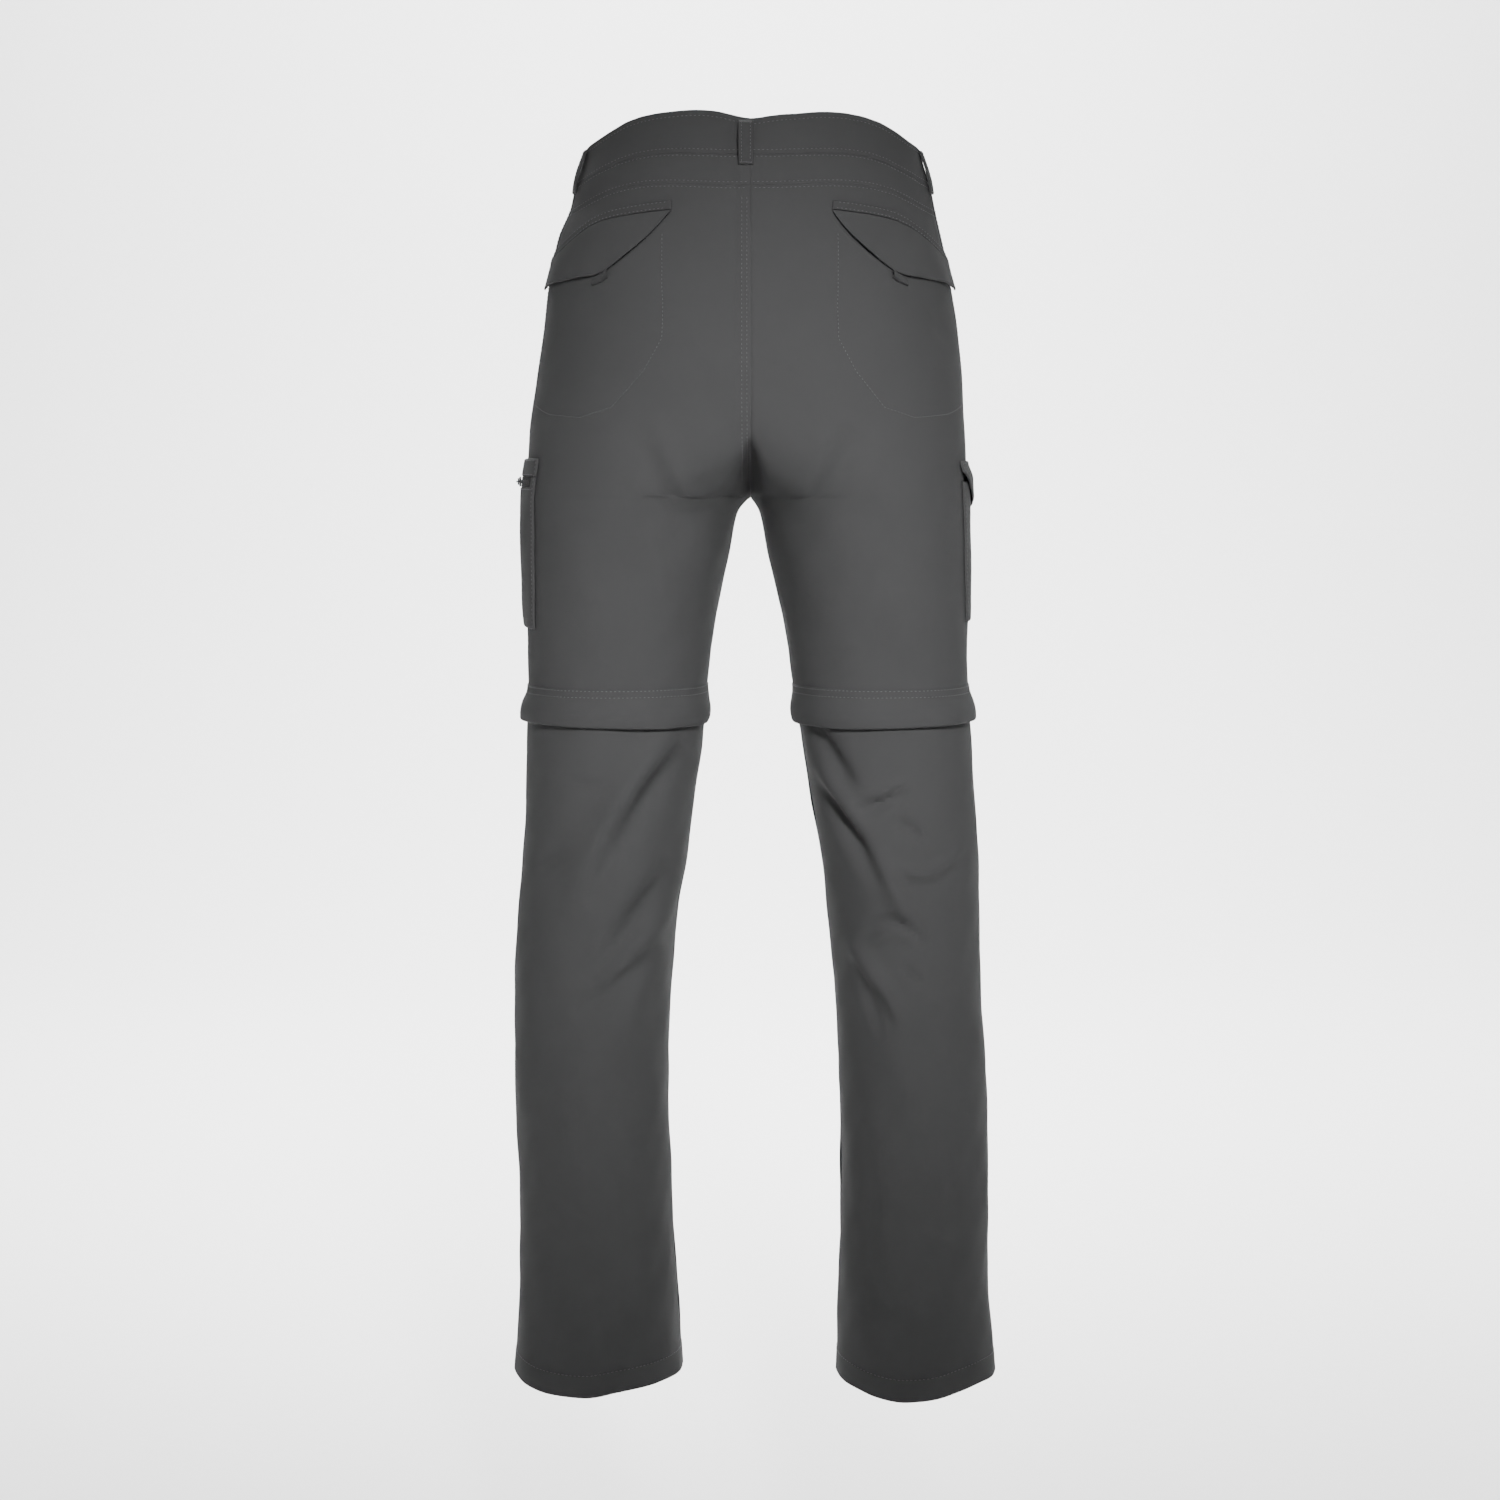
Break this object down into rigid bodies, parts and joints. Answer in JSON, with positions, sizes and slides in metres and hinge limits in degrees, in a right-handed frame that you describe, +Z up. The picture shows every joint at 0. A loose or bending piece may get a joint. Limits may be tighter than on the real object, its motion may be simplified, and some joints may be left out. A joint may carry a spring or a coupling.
{
  "type": "convertible zip-off trousers",
  "caption": "Standing hollow cargo trousers with zip-off lower legs under knee storm flaps, flapped back pockets and thigh pockets.",
  "frame": {"origin": "middle of the waist opening, where the wearer's waist holds the trousers, 20 mm below the waistband's top at the sides", "axes": "+Z up along the legs, -Y to the front, +X to the wearer's left"},
  "size_m": [0.4313, 0.246, 1.1017],
  "materials": {
    "cloth": "matte plain-weave nylon, charcoal",
    "trim": "matte plain-weave nylon, charcoal, folded and stitched",
    "zip_tape": "black woven tape with a nylon coil",
    "zip_metal": "black enamelled die-cast metal",
    "button": "satin moulded plastic, near black"
  },
  "bodies": {
    "trousers": {"waistband": "cloth", "yoke_left": "cloth", "yoke_right": "cloth", "back_left": "cloth", "back_right": "cloth", "front_left": "cloth", "front_right": "cloth", "back_pocket_flap_left": "cloth", "back_pocket_flap_right": "cloth", "knee_flap_left": "cloth", "knee_flap_right": "cloth", "lower_back_left": "cloth", "lower_back_right": "cloth", "lower_front_left": "cloth", "lower_front_right": "cloth", "cargo_pocket_left": "cloth", "cargo_pocket_left_top": "cloth", "cargo_pocket_right": "cloth", "cargo_flap_right": "cloth", "hand_pocket_left": "trim", "hand_pocket_right": "trim", "back_pocket_strip_left": "trim", "back_pocket_strip_right": "trim", "flap_tab_left": "trim", "flap_tab_right": "trim", "belt_loop_side_left": "trim", "belt_loop_side_right": "trim", "belt_loop_front_left": "trim", "belt_loop_front_right": "trim", "belt_loop_back": "trim", "cargo_zip_tape": "zip_tape", "knee_zip_left": "zip_tape", "knee_zip_right": "zip_tape", "cargo_zip_slider": "zip_metal", "knee_slider_left": "zip_metal", "knee_slider_right": "zip_metal", "waist_button": "button"},
    "zip_pull": {"cargo_zip_pull": "zip_metal"}
  },
  "joints": [
    {"name": "zip_pull_hinge", "type": "hinge", "parent": "trousers", "child": "zip_pull", "pos_m": [0.20067, 0.01269, -0.26228], "axis": [0, 0, 1], "range_deg": [0, 120]}
  ]
}
